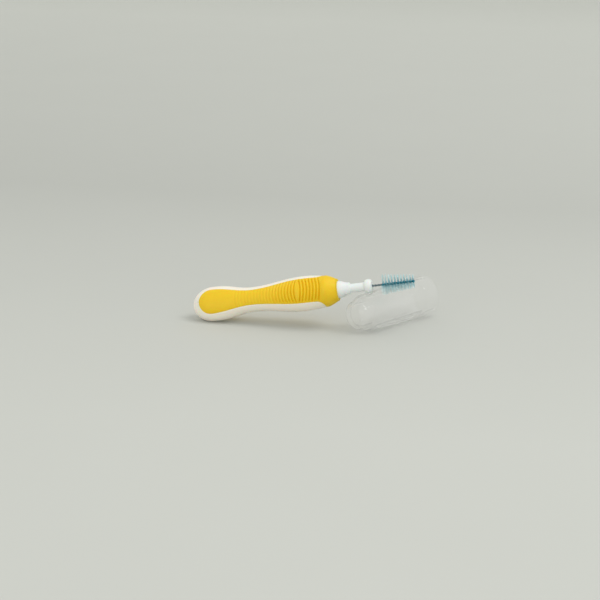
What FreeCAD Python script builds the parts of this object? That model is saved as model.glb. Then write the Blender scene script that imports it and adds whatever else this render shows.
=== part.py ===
"""Interdental brush with its clear cap taken off.

The brush is drawn along its own axis: X runs from the tail end to the wire's tip, Y across the broad faces and
Z out of a broad face. The cap is drawn along its own axis too, from the mouth inwards. Both are then laid on a
surface: the brush rests on its tail, and its bead lies on the cap, which lies on its side. In the finished
part X runs from the tail to the tip, Z is up and the origin is under the middle of the part.
"""
import FreeCAD
import Part
import Sketcher
import math
import os
import re

Vector = FreeCAD.Vector
Rotation = FreeCAD.Rotation
Placement = FreeCAD.Placement

# Driving dimensions: lengths in millimetres, angles in degrees
SIZES = (
    ("tail_length", 7.0, "tail end to its widest section"),
    ("tail_land", 1.5, "stretch of the tail that keeps its widest section"),
    ("tail_width", 11.7, ""),
    ("tail_thickness", 8.4, ""),
    ("waist_station", 20.5, "tail end to the slimmest section"),
    ("waist_width", 8.3, ""),
    ("waist_thickness", 7.0, ""),
    ("belly_station", 38.0, "tail end to the fullest section"),
    ("belly_width", 11.7, ""),
    ("belly_thickness", 9.7, ""),
    ("collar_station", 46.0, "tail end to the collar's ridge"),
    ("collar_diameter", 10.0, "handle where it runs into the collar"),
    ("collar_ridge_diameter", 10.3, ""),
    ("collar_ridge_land", 0.6, "length of the ridge"),
    ("collar_flank", 0.6, "length of the ridge's rise"),
    ("collar_sink", 0.5, "depth of the rise's foot below the handle"),
    ("collar_length", 3.6, "ridge to the front face"),
    ("collar_front_diameter", 6.8, ""),
    ("collar_bulge_radius", 9.0, "curve of the collar's front cone"),
    ("blade_thickness", 4.2, "flat of the core under the soft panels"),
    ("blade_setback", 2.2, "blade's front end to the collar's ridge"),
    ("bond_gap", 0.03, "between the soft moulding and the core"),
    ("panel_setback", 2.1, "tail end to the end of the soft panel"),
    ("panel_tail_width", 8.5, ""),
    ("panel_waist_width", 5.3, ""),
    ("panel_belly_width", 8.5, ""),
    ("flare_lead", 3.4, "collar's ridge back to where the panel starts to widen"),
    ("flare_radius", 4.0, "curve of the panel's edge round the rim's end"),
    ("groove_pitch", 1.08, ""),
    ("groove_width", 0.42, ""),
    ("groove_depth", 0.4, "at the belly"),
    ("waist_groove_depth", 0.16, ""),
    ("groove_bow_radius", 11.5, ""),
    ("groove_start", 25.0, "tail end to the first groove"),
    ("groove_middle", 36.6, "tail end to the ridge where the grooves turn their bow"),
    ("groove_front_margin", 1.3, "last groove to the collar's ridge"),
    ("neck_root", 4.0, "neck's shaft inside the handle, behind the collar's ridge"),
    ("neck_base_diameter", 5.4, ""),
    ("cone_length", 3.9, "collar's front face to the thin neck"),
    ("cone_end_diameter", 4.0, ""),
    ("neck_diameter", 2.9, ""),
    ("neck_length", 4.9, "cone to the bead"),
    ("bead_length", 2.5, ""),
    ("bead_diameter", 4.7, ""),
    ("bead_face_diameter", 3.5, "flat ends of the bead"),
    ("wire_anchor", 4.5, "wire inside the bead and the neck"),
    ("wire_exposed", 14.0, "bead to the wire's tip"),
    ("strand_diameter", 0.34, "across its flats"),
    ("twist_lead", 2.0, "one full turn of the twist"),
    ("clamp_clearance", 0.02, "between a filament and each strand"),
    ("bore_clearance", 0.02, "between the wire and its bore"),
    ("filament_diameter", 0.09, ""),
    ("filament_pitch", 0.1, "along the wire"),
    ("bristle_setback", 3.2, "bead to the first filament"),
    ("bristle_tip_margin", 0.25, "last filament to the wire's tip"),
    ("bristle_root_diameter", 7.4, ""),
    ("bristle_tip_diameter", 4.2, ""),
    ("cap_length", 30.0, "mouth to the closed end, without the nose"),
    ("cap_mouth_diameter", 14.0, ""),
    ("cap_shoulder_diameter", 12.3, ""),
    ("cap_shoulder_radius", 2.0, ""),
    ("cap_end_wall", 1.2, ""),
    ("cap_seat_diameter", 11.9, "mouth seat, which goes over the handle"),
    ("cap_seat_depth", 5.0, ""),
    ("cap_chamber_diameter", 10.5, "behind the seat, over the collar's ridge"),
    ("nose_diameter", 6.4, ""),
    ("nose_length", 5.0, ""),
    ("nose_bore_diameter", 4.4, "takes the tip of the brush"),
    ("nose_wall", 1.8, "at the nose's end"),
    ("roll_angle", 32.5, "broad face's tilt up from upright"),
    ("cap_yaw", 52.0, "from the brush to the cap's mouth, seen from above"),
    ("bead_rest", 3.5, "cap's closed end to the place where the bead rests"),
    ("rest_gap", 0.3, "between the bead and the cap"),
    ("overrun", 1.0, "by which a cutting shape passes the piece that it cuts"),
)
# Sections of the tail's dome, as angles from its pole
DOME_ANGLES = (8, 22, 38, 54, 71, 90)
# Sections from the tail to the waist, from there to the belly and on to the collar
SECTION_STEPS = (5, 7, 3)
# Width of the grooves as a share of the panel's
GROOVE_SPAN_SHARE = 0.9
# Sides of the handle's sections, of a strand and of a filament
HANDLE_SIDES = 36
STRAND_SIDES = 8
FILAMENT_SIDES = 6
# Sections of a strand to a turn
STEPS_PER_TURN = 8

doc = FreeCAD.newDocument("interdental_brush")
sheet = doc.addObject("Spreadsheet::Sheet", "dim")
for row, (alias, value, note) in enumerate(SIZES, start=1):
    sheet.set("A%d" % row, alias)
    sheet.set("B%d" % row, str(value))
    sheet.set("C%d" % row, note)
    sheet.setAlias("B%d" % row, alias)
doc.recompute()
ALIASES = {alias for alias, value, note in SIZES}


def size(formula):
    """Value of a formula written in the sheet's aliases."""
    return float(sheet.evalExpression(formula))


def bind(target, path, formula):
    """Ties a property to a formula written in the sheet's aliases."""
    def in_sheet(word):
        return "dim." + word.group(0) if word.group(0) in ALIASES else word.group(0)
    target.setExpression(path, re.sub(r"[a-z_]+", in_sheet, formula))


# Stations along the brush, as formulas
COLLAR_FRONT = "(collar_station + collar_length)"
CONE_END = "(collar_station + collar_length + cone_length)"
BEAD_BACK = "(collar_station + collar_length + cone_length + neck_length)"
BEAD_TIP = "(collar_station + collar_length + cone_length + neck_length + bead_length)"
HELIX_RADIUS = "((strand_diameter + filament_diameter) / 2 + clamp_clearance)"
WIRE_BORE = "(%s + strand_diameter / 2 + bore_clearance)" % HELIX_RADIUS


def origin_feature(body, role):
    """One of a body's own origin planes or axes."""
    return [feature for feature in body.Origin.OriginFeatures if feature.Role == role][0]


def arc_between(start, end, radius, side):
    """Arc of less than a half circle, bulging to the left of its direction for side 1, else to the right."""
    chord = end - start
    half = chord.Length / 2
    left = Vector(-chord.y, chord.x, 0).normalize()
    rise = radius - math.sqrt(max(radius * radius - half * half, 0))
    return Part.Arc(start, (start + end) / 2 + left * (side * rise), end)


def outline(body, name, corners, arcs=None):
    """Closed sketch on a body's XY plane. Corners are pairs of formulas; arcs maps the number of the edge
    that leaves a corner to its radius formula and the side to which it bulges."""
    arcs = arcs or {}
    sketch = body.newObject("Sketcher::SketchObject", name)
    sketch.AttachmentSupport = [(origin_feature(body, "XY_Plane"), "")]
    sketch.MapMode = "FlatFace"
    points = [Vector(size(x), size(y), 0) for x, y in corners]
    count = len(points)
    for edge, point in enumerate(points):
        following = points[(edge + 1) % count]
        if edge in arcs:
            radius, side = arcs[edge]
            sketch.addGeometry(arc_between(point, following, size(radius), side), False)
        else:
            sketch.addGeometry(Part.LineSegment(point, following), False)

    def end_at(edge, point):
        return min((1, 2), key=lambda end: (sketch.getPoint(edge, end) - point).Length)

    ends = [(end_at(edge, points[edge]), end_at(edge, points[(edge + 1) % count])) for edge in range(count)]
    for edge in range(count):
        before = (edge - 1) % count
        sketch.addConstraint(Sketcher.Constraint("Coincident", before, ends[before][1], edge, ends[edge][0]))
    for edge, (x, y) in enumerate(corners):
        for kind, formula, axis in (("DistanceX", x, -2), ("DistanceY", y, -1)):
            if formula == "0":
                sketch.addConstraint(Sketcher.Constraint("PointOnObject", edge, ends[edge][0], axis))
                continue
            place = Sketcher.Constraint(kind, -1, 1, edge, ends[edge][0], size(formula))
            bind(sketch, "Constraints[%d]" % sketch.addConstraint(place), formula)
    for edge, (radius, side) in arcs.items():
        curve = Sketcher.Constraint("Radius", edge, size(radius))
        bind(sketch, "Constraints[%d]" % sketch.addConstraint(curve), radius)
    return sketch


def revolved_body(name, corners, arcs=None):
    """Body turned about X from an outline in its upper half plane."""
    body = doc.addObject("PartDesign::Body", name)
    turn = body.newObject("PartDesign::Revolution", name + "_turn")
    turn.Profile = outline(body, name + "_profile", corners, arcs)
    turn.ReferenceAxis = (origin_feature(body, "X_Axis"), [""])
    turn.Angle = 360.0
    body.Tip = turn
    return body


def ring(centre, across, upwards, half_width, half_height, sides):
    """Closed polygon of an oval, with flats square to both of its directions where its sides allow."""
    corners = []
    for side in range(sides):
        angle = 2 * math.pi * (side + 0.5) / sides
        outwards = across * (half_width * math.cos(angle)) + upwards * (half_height * math.sin(angle))
        corners.append(centre + outwards)
    return Part.makePolygon(corners + corners[:1])


def between(first, second, share):
    """Formula of a value that lies a share of the way from one formula to another."""
    return "(%s + (%s - %s) * %.6f)" % (first, second, first, share)


def handle_form():
    """Handle from the tail's end to the collar, through oval sections: a domed tail, a slim waist and a full
    belly, with an easy curve from each to the next."""
    sections = []

    def add(station, width, thickness, share=1.0):
        section = doc.addObject("Part::Feature", "handle_section_%d" % len(sections))
        section.Shape = ring(Vector(size(station), 0, 0), Vector(0, 1, 0), Vector(0, 0, 1),
                             size(width) / 2 * share, size(thickness) / 2 * share, HANDLE_SIDES)
        sections.append(section)

    for angle in DOME_ANGLES:
        along_share = 1 - math.cos(math.radians(angle))
        girth_share = math.sin(math.radians(angle))
        add("tail_length * %.6f" % along_share, "tail_width", "tail_thickness", girth_share)
    tail = ("(tail_length + tail_land)", "tail_width", "tail_thickness")
    waist = ("waist_station", "waist_width", "waist_thickness")
    belly = ("belly_station", "belly_width", "belly_thickness")
    front = ("collar_station", "collar_diameter", "collar_diameter")
    add(*tail)
    spans = zip((tail, waist, belly), (waist, belly, front), SECTION_STEPS, (180, 180, 90))
    for start, end, steps, turn in spans:
        for step in range(1, steps + 1):
            along_share = step / steps
            blend_share = 1 - math.cos(math.radians(turn * along_share))
            blend_share /= 1 - math.cos(math.radians(turn))
            add(between(start[0], end[0], along_share),
                *[between(first, second, blend_share) for first, second in zip(start[1:], end[1:])])
    loft = doc.addObject("Part::Loft", "handle_form")
    loft.Sections = sections
    loft.Solid = True
    loft.Ruled = True
    return loft


def panel_prism(name, inset):
    """Prism through both broad faces, over the outline of the soft panels and all that is before them."""
    tail_half = "(panel_tail_width / 2 - %s)" % inset
    waist_half = "(panel_waist_width / 2 - %s)" % inset
    belly_half = "(panel_belly_width / 2 - %s)" % inset
    tail_x = "(panel_setback + panel_tail_width / 2)"
    flare_x = "(collar_station - flare_lead)"
    flare_end = "(%s + flare_radius + %s)" % (flare_x, inset)
    front_x = "(%s + overrun)" % COLLAR_FRONT
    outside = "(panel_belly_width / 2 + flare_radius)"

    def halfway(first, second):
        return "(%s + %s) / 2" % (first, second)

    def bend(x_first, y_first, x_second, y_second):
        length = "(%s - %s)" % (x_second, x_first)
        rise = "abs(%s - %s)" % (y_second, y_first)
        return "(%s ^ 2 + %s ^ 2) / (4 * %s)" % (length, rise, rise)

    corners = [
        ("panel_setback + %s" % inset, "0"),
        (tail_x, tail_half),
        (halfway(tail_x, "waist_station"), halfway(tail_half, waist_half)),
        ("waist_station", waist_half),
        (halfway("waist_station", "belly_station"), halfway(waist_half, belly_half)),
        ("belly_station", belly_half),
        (flare_x, belly_half),
        (flare_end, outside),
        (front_x, outside),
        (front_x, "0"),
    ]
    narrowing = bend(tail_x, tail_half, "waist_station", waist_half)
    widening = bend("waist_station", waist_half, "belly_station", belly_half)
    arcs = {
        0: (tail_half, 1),
        1: (narrowing, 1),
        2: (narrowing, -1),
        3: (widening, -1),
        4: (widening, 1),
        6: ("(flare_radius + %s)" % inset, -1),
    }
    body = doc.addObject("PartDesign::Body", name)
    pad = body.newObject("PartDesign::Pad", name + "_pad")
    pad.Profile = outline(body, name + "_outline", corners, arcs)
    pad.SideType = "Symmetric"
    bind(pad, "Length", "max(tail_thickness; max(belly_thickness; collar_ridge_diameter)) + 2 * overrun")
    mirrored = body.newObject("PartDesign::Mirrored", name + "_mirrored")
    mirrored.Originals = [pad]
    mirrored.MirrorPlane = (origin_feature(body, "XZ_Plane"), [""])
    body.Tip = mirrored
    return body


def boolean(kind, name, base, tool):
    """Part::Cut or Part::Common of two objects."""
    result = doc.addObject(kind, name)
    result.Base = base
    result.Tool = tool
    return result


def fuse(name, pieces):
    result = doc.addObject("Part::MultiFuse", name)
    result.Shapes = pieces
    return result


def collar():
    """Ring at the front of the handle: a ridge, and a cone that rounds down to the neck."""
    ridge_back = "(collar_station - collar_ridge_land)"
    foot_x = "(%s - collar_flank)" % ridge_back
    corners = [
        (foot_x, "0"),
        (foot_x, "collar_diameter / 2 - collar_sink"),
        (ridge_back, "collar_ridge_diameter / 2"),
        ("collar_station", "collar_ridge_diameter / 2"),
        (COLLAR_FRONT, "collar_front_diameter / 2"),
        (COLLAR_FRONT, "0"),
    ]
    return revolved_body("collar", corners, {3: ("collar_bulge_radius", 1)})


def neck():
    """Shaft through the collar, cone, thin neck and bead, with the blind bore that holds the wire."""
    bore_end = "(%s - wire_anchor)" % BEAD_TIP
    root = "(collar_station - neck_root)"
    corners = [
        (root, "0"),
        (bore_end, "0"),
        (bore_end, WIRE_BORE),
        (BEAD_TIP, WIRE_BORE),
        (BEAD_TIP, "bead_face_diameter / 2"),
        (BEAD_BACK, "bead_face_diameter / 2"),
        (BEAD_BACK, "neck_diameter / 2"),
        (CONE_END, "neck_diameter / 2"),
        (CONE_END, "cone_end_diameter / 2"),
        (COLLAR_FRONT, "neck_base_diameter / 2"),
        (root, "neck_base_diameter / 2"),
    ]
    rise = "((bead_diameter - bead_face_diameter) / 2)"
    bead_radius = "((bead_length / 2) ^ 2 + %s ^ 2) / (2 * %s)" % (rise, rise)
    return revolved_body("neck", corners, {4: (bead_radius, -1)})


def recess(name, inset):
    """Space of the soft moulding: over both flats of the core's blade, and round the shaft in front of it."""
    blade = doc.addObject("Part::Box", name + "_blade")
    bind(blade, "Length", "collar_station - blade_setback + %s + overrun" % inset)
    bind(blade, "Width",
         "max(tail_width; max(belly_width; collar_ridge_diameter)) + 2 * (flare_radius + overrun)")
    bind(blade, "Height", "blade_thickness + 2 * %s" % inset)
    bind(blade, "Placement.Base.x", "-overrun")
    bind(blade, "Placement.Base.y",
         "-max(tail_width; max(belly_width; collar_ridge_diameter)) / 2 - flare_radius - overrun")
    bind(blade, "Placement.Base.z", "-blade_thickness / 2 - %s" % inset)
    return boolean("Part::Cut", name, panel_prism(name + "_prism", inset), blade)


def groove_cutters(form):
    """Bowed cutters across both broad faces, one for each groove: bowed to the tail behind the turning ridge and
    to the tip in front of it. Their floors are round, a little below the face, and deeper at the belly."""
    bow = size("groove_bow_radius")
    half_width = size("groove_width / 2")
    top = size("max(belly_thickness; max(tail_thickness; waist_thickness)) / 2 + overrun")
    pitch = size("groove_pitch")
    middle = size("groove_middle")
    behind = int(math.floor((middle - size("groove_start")) / pitch))
    in_front = int(math.floor((size("collar_station - groove_front_margin") - middle) / pitch))
    places = [(middle - pitch * (step + 1), 1) for step in range(behind)]
    places += [(middle + pitch * (step + 1), -1) for step in range(in_front)]
    cutters = []
    for station, centre_side in places:
        swell_share = (station - size("waist_station")) / size("belly_station - waist_station")
        swell_share = (1 - math.cos(math.pi * max(0.0, min(1.0, swell_share)))) / 2
        depth = size(between("waist_groove_depth", "groove_depth", swell_share))
        span = size(between("panel_waist_width", "panel_belly_width", swell_share))
        half_span = span / 2 * GROOVE_SPAN_SHARE
        girth = form.Shape.slice(Vector(1, 0, 0), station)[0].BoundBox
        fall = girth.ZMax * (1 - math.sqrt(1 - (half_span / girth.YMax) ** 2))
        floor_radius = (half_span ** 2 + fall ** 2) / (2 * fall)
        floor_height = girth.ZMax - depth - floor_radius

        centre = station + centre_side * bow
        rims = []
        for rim in (bow + half_width, bow - half_width):
            reach = math.sqrt(rim * rim - half_span * half_span)
            ends = [Vector(centre - centre_side * reach, across, 0) for across in (-half_span, half_span)]
            rims.append((ends[0], Vector(centre - centre_side * rim, 0, 0), ends[1]))
        outer, inner = rims
        edges = [
            Part.Arc(*outer).toShape(),
            Part.LineSegment(outer[2], inner[2]).toShape(),
            Part.Arc(*reversed(inner)).toShape(),
            Part.LineSegment(inner[0], outer[0]).toShape(),
        ]
        plate = Part.Face(Part.Wire(edges)).extrude(Vector(0, 0, top))
        plate_box = plate.BoundBox
        floor = Part.makeCylinder(floor_radius, plate_box.XLength + 2 * pitch,
                                  Vector(plate_box.XMin - pitch, 0, floor_height), Vector(1, 0, 0))
        cutter = plate.cut(floor)
        cutters += [cutter, cutter.mirror(Vector(), Vector(0, 0, 1))]
    pattern = doc.addObject("Part::Feature", "groove_cutters")
    pattern.Shape = Part.makeCompound(cutters)
    return pattern


def handle():
    """The hard core and the soft overmould that fills its recesses."""
    form = handle_form()
    outside = fuse("handle_outside", [form, collar()])
    rim_and_blade = boolean("Part::Cut", "rim_and_blade", outside, recess("core_recess", "0"))
    core = fuse("handle_core", [rim_and_blade, neck()])

    passage = doc.addObject("Part::Cylinder", "collar_passage")
    bind(passage, "Radius", "neck_base_diameter / 2 + bond_gap")
    bind(passage, "Height", "neck_root + collar_length + overrun")
    passage.Placement = Placement(Vector(), Rotation(Vector(0, 1, 0), 90))
    bind(passage, "Placement.Base.x", "collar_station - neck_root")
    filled = boolean("Part::Common", "grip_filled", outside, recess("grip_recess", "bond_gap"))
    plain = boolean("Part::Cut", "grip_plain", filled, passage)
    doc.recompute()
    grip = boolean("Part::Cut", "grip_overmould", plain, groove_cutters(form))
    return outside, core, grip


def twist_angle(station):
    """Turn of the first strand about the axis."""
    return 2 * math.pi * (station - size(BEAD_TIP)) / size("twist_lead")


def strand(name, offset):
    """One strand of the twisted wire, through sections square to the axis and so stretched along the turn."""
    radius = size(HELIX_RADIUS)
    stretch = math.sqrt(1 + (2 * math.pi * radius / size("twist_lead")) ** 2)
    half = size("strand_diameter / 2") / math.cos(math.pi / STRAND_SIDES)
    first = size("%s - wire_anchor + bore_clearance" % BEAD_TIP)
    last = size("%s + wire_exposed" % BEAD_TIP)
    steps = int(math.ceil((last - first) / size("twist_lead") * STEPS_PER_TURN))
    sections = []
    for step in range(steps + 1):
        station = first + (last - first) * step / steps
        angle = twist_angle(station) + offset
        outwards = Vector(0, math.cos(angle), math.sin(angle))
        onwards = Vector(0, -math.sin(angle), math.cos(angle))
        sections.append(ring(Vector(station, 0, 0) + outwards * radius, outwards, onwards,
                             half, half * stretch, STRAND_SIDES))
    piece = doc.addObject("Part::Feature", name)
    piece.Shape = Part.makeLoft(sections, True, True)
    return piece


def bristle_rows():
    """Filaments clamped at their middle between the strands, square to the axis: a row to a half twist."""
    first = size("%s + bristle_setback" % BEAD_TIP)
    last = size("%s + wire_exposed - bristle_tip_margin" % BEAD_TIP)
    pitch = size("filament_pitch")
    count = int(math.floor((last - first) / pitch)) + 1
    half_twist = size("twist_lead / 2")
    root = size("bristle_root_diameter")
    tip = size("bristle_tip_diameter")
    radius = size("filament_diameter / 2")
    rows = {}
    for number in range(count):
        station = first + pitch * number
        length = root + (tip - root) * (station - first) / (last - first)
        angle = twist_angle(station) + math.pi / 2
        way = Vector(0, math.cos(angle), math.sin(angle))
        aside = Vector(0, -math.sin(angle), math.cos(angle))
        foot = Vector(station, 0, 0) - way * (length / 2)
        end_face = Part.Face(ring(foot, Vector(1, 0, 0), aside, radius, radius, FILAMENT_SIDES))
        rows.setdefault(int((station - first) / half_twist), []).append(end_face.extrude(way * length))
    pieces = []
    for number, filaments in sorted(rows.items()):
        row = doc.addObject("Part::Feature", "bristle_row_%02d" % (number + 1))
        row.Shape = Part.makeCompound(filaments)
        pieces.append(row)
    return pieces


def cap():
    """Clear cap, drawn from its mouth inwards: a seat, a chamber, a rounded shoulder and a domed nose."""
    shoulder_x = "(cap_length - cap_shoulder_radius)"
    end_x = "(cap_length + nose_length)"
    inner_end = "(cap_length - cap_end_wall)"
    corners = [
        ("0", "cap_seat_diameter / 2"),
        ("0", "cap_mouth_diameter / 2"),
        (shoulder_x, "cap_shoulder_diameter / 2"),
        ("cap_length", "cap_shoulder_diameter / 2 - cap_shoulder_radius"),
        ("cap_length", "nose_diameter / 2"),
        ("%s - nose_diameter / 2" % end_x, "nose_diameter / 2"),
        (end_x, "0"),
        ("%s - nose_wall" % end_x, "0"),
        ("%s - nose_wall" % end_x, "nose_bore_diameter / 2"),
        (inner_end, "nose_bore_diameter / 2"),
        (inner_end, "cap_chamber_diameter / 2"),
        ("cap_seat_depth", "cap_chamber_diameter / 2"),
        ("cap_seat_depth", "cap_seat_diameter / 2"),
    ]
    arcs = {
        2: ("cap_shoulder_radius", 1),
        5: ("nose_diameter / 2", 1),
    }
    return revolved_body("cap", corners, arcs)


def lay_out(outside, brush_pieces, cap_piece):
    """Lays the cap on its side and the brush over it, with the origin under the middle of the part."""
    mouth = size("cap_mouth_diameter / 2")
    taper = math.atan((mouth - size("cap_shoulder_diameter / 2")) / size("cap_length - cap_shoulder_radius"))
    from_mouth = size("cap_length - bead_rest")
    rest_radius = mouth - from_mouth * math.tan(taper)
    crest = mouth * math.cos(taper) - from_mouth * math.sin(taper) + rest_radius * math.cos(taper)
    bead_station = size("%s + bead_length / 2" % BEAD_BACK)
    bead_height = crest + size("rest_gap") + size("bead_diameter / 2")

    pitch = 0.0
    for attempt in range(6):
        tilt = Rotation(Vector(0, 1, 0), -math.degrees(pitch))
        turn = tilt * Rotation(Vector(1, 0, 0), 90 - size("roll_angle"))
        lying = outside.Shape.copy()
        lying.Placement = Placement(Vector(), turn)
        lift = -lying.optimalBoundingBox(False, False).ZMin
        pitch = math.asin((bead_height - lift) / bead_station)
    bead = Vector(bead_station * math.cos(pitch), 0, 0)

    yaw = math.radians(size("cap_yaw"))
    heading = Vector(math.cos(yaw), math.sin(yaw), 0)
    reach = from_mouth * math.cos(taper) + rest_radius * math.sin(taper)
    mouth_place = bead + heading * reach + Vector(0, 0, mouth * math.cos(taper))
    cap_turn = (Rotation(Vector(0, 0, 1), math.degrees(yaw))
                * Rotation(Vector(0, 1, 0), -math.degrees(taper))
                * Rotation(Vector(0, 0, 1), 180))
    poses = [(piece, Placement(Vector(0, 0, lift), turn)) for piece in brush_pieces]
    poses.append((cap_piece, Placement(mouth_place, cap_turn)))
    boxes = []
    for piece, pose in poses:
        lying = piece.Shape.copy()
        lying.Placement = pose
        boxes.append(lying.optimalBoundingBox(False, False))
    middle = Vector((min(box.XMin for box in boxes) + max(box.XMax for box in boxes)) / 2,
                    (min(box.YMin for box in boxes) + max(box.YMax for box in boxes)) / 2,
                    min(box.ZMin for box in boxes))
    for piece, pose in poses:
        piece.Placement = Placement(pose.Base - middle, pose.Rotation)
    out_of_mouth = cap_piece.Placement.Rotation.multVec(Vector(-1, 0, 0))
    print("pitch %.3f degrees" % math.degrees(pitch))
    print("brush axis starts at", brush_pieces[0].Placement.Base, "way",
          brush_pieces[0].Placement.Rotation.multVec(Vector(1, 0, 0)))
    print("cap mouth at", cap_piece.Placement.Base, "way out", out_of_mouth)


def check(pieces):
    """Stops if anything failed to build."""
    for item in doc.Objects:
        if "Invalid" in item.State or "Error" in item.State:
            raise RuntimeError("%s did not build: %s" % (item.Label, item.State))
    for piece in pieces:
        if piece.Shape.isNull() or not piece.Shape.isValid() or piece.Shape.Volume <= 0:
            raise RuntimeError("%s has no valid shape" % piece.Label)


outside_form, core_piece, grip_piece = handle()
strands = [strand("wire_strand_a", 0.0), strand("wire_strand_b", math.pi)]
rows = bristle_rows()
cap_body = cap()
doc.recompute()
check([outside_form, core_piece, grip_piece, cap_body] + strands + rows)
lay_out(outside_form, [core_piece, grip_piece] + strands + rows, cap_body)
finished = [core_piece, grip_piece, cap_body] + strands + rows
check(finished)

os.makedirs("parts", exist_ok=True)
for piece in finished:
    piece.Shape.exportStep(os.path.join("parts", piece.Label + ".step"))
    box = piece.Shape.BoundBox
    print("%-16s solids %3d volume %9.3f  x %.1f..%.1f y %.1f..%.1f z %.1f..%.1f" % (
        piece.Label, len(piece.Shape.Solids), piece.Shape.Volume,
        box.XMin, box.XMax, box.YMin, box.YMax, box.ZMin, box.ZMax))
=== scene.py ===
"""Interdental brush with its clear cap taken off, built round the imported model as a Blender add-on."""
import math
import random
from types import SimpleNamespace

import bpy
from bpy.props import FloatProperty, FloatVectorProperty, IntProperty, PointerProperty
from mathutils import Matrix, Vector


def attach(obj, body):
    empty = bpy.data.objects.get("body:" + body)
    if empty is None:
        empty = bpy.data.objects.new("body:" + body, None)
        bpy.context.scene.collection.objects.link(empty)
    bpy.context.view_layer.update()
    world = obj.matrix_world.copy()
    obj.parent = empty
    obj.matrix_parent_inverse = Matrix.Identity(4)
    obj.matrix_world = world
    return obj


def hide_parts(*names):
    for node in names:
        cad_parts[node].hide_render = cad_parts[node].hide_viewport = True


bl_info = {
    "name": "Interdental brush",
    "version": (1, 0, 0),
    "blender": (4, 5, 0),
    "location": "3D View > Sidebar > Interdental brush",
    "description": "Models and finishes an interdental brush and the clear cap that lies beside it",
    "category": "Object",
}

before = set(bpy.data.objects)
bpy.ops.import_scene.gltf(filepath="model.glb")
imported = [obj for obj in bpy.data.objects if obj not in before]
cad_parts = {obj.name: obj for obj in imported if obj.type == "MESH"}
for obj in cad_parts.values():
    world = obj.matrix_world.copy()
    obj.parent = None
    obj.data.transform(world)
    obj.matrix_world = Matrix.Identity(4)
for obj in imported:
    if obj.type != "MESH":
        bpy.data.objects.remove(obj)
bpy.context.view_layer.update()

MM = 0.001
BRUSH = "brush"
CAP = "cap"
BRISTLE_ROWS = sorted(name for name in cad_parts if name.startswith("bristle_row"))
SMOOTH = math.radians(35)
MERGE = 0.002 * MM
QUARTER = math.pi / 2

# Directions in a turned profile, along its axis and across it.
BACK, AHEAD = (-1, 0), (1, 0)
INWARDS, OUTWARDS = (0, -1), (0, 1)

# Values that a piece stores for its material, point by point.
WARMTH = "warmth"
HELD = "held"
REACH = "reach"


def linear(colour):
    """Linear red, green and blue of an sRGB hex value."""
    channels = [int(colour[place:place + 2], 16) / 255 for place in (1, 3, 5)]
    return tuple(c / 12.92 if c <= 0.04045 else ((c + 0.055) / 1.055) ** 2.4 for c in channels)


def length(name, description, millimetres):
    """Length property with its default in millimetres."""
    return FloatProperty(name=name, description=description, default=millimetres * MM,
                         unit="LENGTH", precision=5)


def angle(name, description, degrees):
    """Angle property with its default in degrees."""
    return FloatProperty(name=name, description=description, default=math.radians(degrees), subtype="ANGLE")


def colour(name, description, srgb):
    """Colour property with its default as an sRGB hex value."""
    return FloatVectorProperty(name=name, description=description, default=linear(srgb),
                               subtype="COLOR", min=0, max=1)


def place(name, description, millimetres):
    """Position property with its default in millimetres."""
    default = [value * MM for value in millimetres]
    return FloatVectorProperty(name=name, description=description, default=default,
                               subtype="TRANSLATION", precision=5)


def power(name, description, watts):
    """Lamp power property with its default in watts."""
    return FloatProperty(name=name, description=description, default=watts, unit="POWER")


class BrushLayout(bpy.types.PropertyGroup):
    """Where the brush and the cap lie."""
    tail_point: place("Tail end", "Start of the brush's axis", (-40.2627, -9.0536, 4.1863))
    pitch: angle("Pitch", "Rise of the brush's axis from tail to tip", 10.48)
    roll: angle("Roll", "Tilt of the broad face up from upright", 32.5)
    mouth_point: place("Cap's mouth", "Middle of the cap's mouth", (34.8155, 11.9672, 6.9977))
    cap_yaw: angle("Cap's yaw", "Heading of the cap's mouth from the brush's axis, seen from above", 52.0)


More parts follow.
